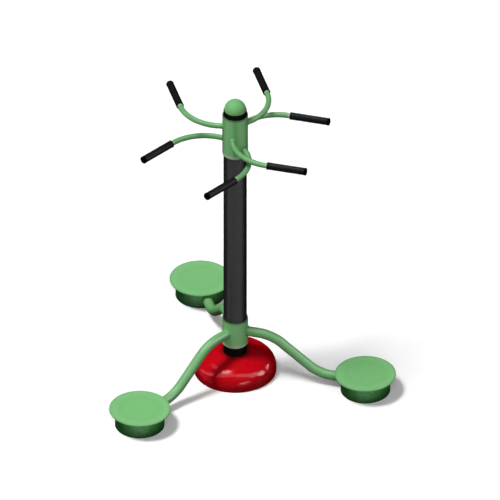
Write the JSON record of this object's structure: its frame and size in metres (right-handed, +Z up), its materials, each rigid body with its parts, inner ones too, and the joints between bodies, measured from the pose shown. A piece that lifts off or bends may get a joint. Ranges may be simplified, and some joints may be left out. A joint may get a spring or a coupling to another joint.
{
  "type": "outdoor waist twister",
  "caption": "Free-standing outdoor exercise station: round post with a domed base cover, S-bent arms that carry turning footplates on bearings, and a U-shaped handle with grips above each.",
  "frame": {"origin": "on the ground, on the axis of the post: the centre of the base plate's underside", "axes": "+Z up along the post; +X out from the post through the centre of footplate 1; footplate 2 lies 120 degrees round from +X towards +Y, and footplate 3 a further 120 degrees round"},
  "size_m": [1.29, 1.4432, 1.6088],
  "materials": {
    "leaf_green_paint": "satin powder coat",
    "deep_green_paint": "satin powder coat",
    "gloss_red_shell": "high gloss gel coat on moulded glass-fibre plastic",
    "charcoal_paint": "satin powder coat",
    "grip_rubber": "matt moulded rubber",
    "seal_rubber": "matt",
    "bearing_steel": "ground and lightly oiled",
    "zinc_steel": "zinc plated, dull"
  },
  "bodies": {
    "root": {"post_cap": "leaf_green_paint", "hub_sleeve": "leaf_green_paint", "top_collar": "leaf_green_paint", "arm_1": "leaf_green_paint", "arm_2": "leaf_green_paint", "arm_3": "leaf_green_paint", "handle_1": "leaf_green_paint", "handle_2": "leaf_green_paint", "handle_3": "leaf_green_paint", "drum_1": "deep_green_paint", "drum_2": "deep_green_paint", "drum_3": "deep_green_paint", "drum_bottom_1": "deep_green_paint", "drum_bottom_2": "deep_green_paint", "drum_bottom_3": "deep_green_paint", "bearing_housing_1": "deep_green_paint", "bearing_housing_2": "deep_green_paint", "bearing_housing_3": "deep_green_paint", "base_cover": "gloss_red_shell", "post": "charcoal_paint", "grip_1_left": "grip_rubber", "grip_1_right": "grip_rubber", "grip_2_left": "grip_rubber", "grip_2_right": "grip_rubber", "grip_3_left": "grip_rubber", "grip_3_right": "grip_rubber", "dust_seal_1": "seal_rubber", "dust_seal_2": "seal_rubber", "dust_seal_3": "seal_rubber", "upper_outer_ring_1": "bearing_steel", "upper_outer_ring_2": "bearing_steel", "upper_outer_ring_3": "bearing_steel", "lower_outer_ring_1": "bearing_steel", "lower_outer_ring_2": "bearing_steel", "lower_outer_ring_3": "bearing_steel", "base_plate": "zinc_steel", "gusset_1": "zinc_steel", "gusset_2": "zinc_steel", "gusset_3": "zinc_steel", "gusset_4": "zinc_steel", "anchor_screw_1": "zinc_steel", "anchor_screw_2": "zinc_steel", "anchor_screw_3": "zinc_steel", "anchor_screw_4": "zinc_steel"},
    "platform_1": {"footplate_1": "leaf_green_paint", "spindle_1": "bearing_steel", "upper_inner_ring_1": "bearing_steel", "lower_inner_ring_1": "bearing_steel", "lock_nut_1": "zinc_steel"},
    "platform_2": {"footplate_2": "leaf_green_paint", "spindle_2": "bearing_steel", "upper_inner_ring_2": "bearing_steel", "lower_inner_ring_2": "bearing_steel", "lock_nut_2": "zinc_steel"},
    "platform_3": {"footplate_3": "leaf_green_paint", "spindle_3": "bearing_steel", "upper_inner_ring_3": "bearing_steel", "lower_inner_ring_3": "bearing_steel", "lock_nut_3": "zinc_steel"}
  },
  "joints": [
    {"name": "footplate_1_turn", "type": "hinge", "parent": "root", "child": "platform_1", "pos_m": [0.66, 0, 0.09], "axis": [0, 0, 1], "continuous": true},
    {"name": "footplate_2_turn", "type": "hinge", "parent": "root", "child": "platform_2", "pos_m": [-0.33, 0.57158, 0.09], "axis": [0, 0, 1], "continuous": true},
    {"name": "footplate_3_turn", "type": "hinge", "parent": "root", "child": "platform_3", "pos_m": [-0.33, -0.57158, 0.09], "axis": [0, 0, 1], "continuous": true}
  ]
}
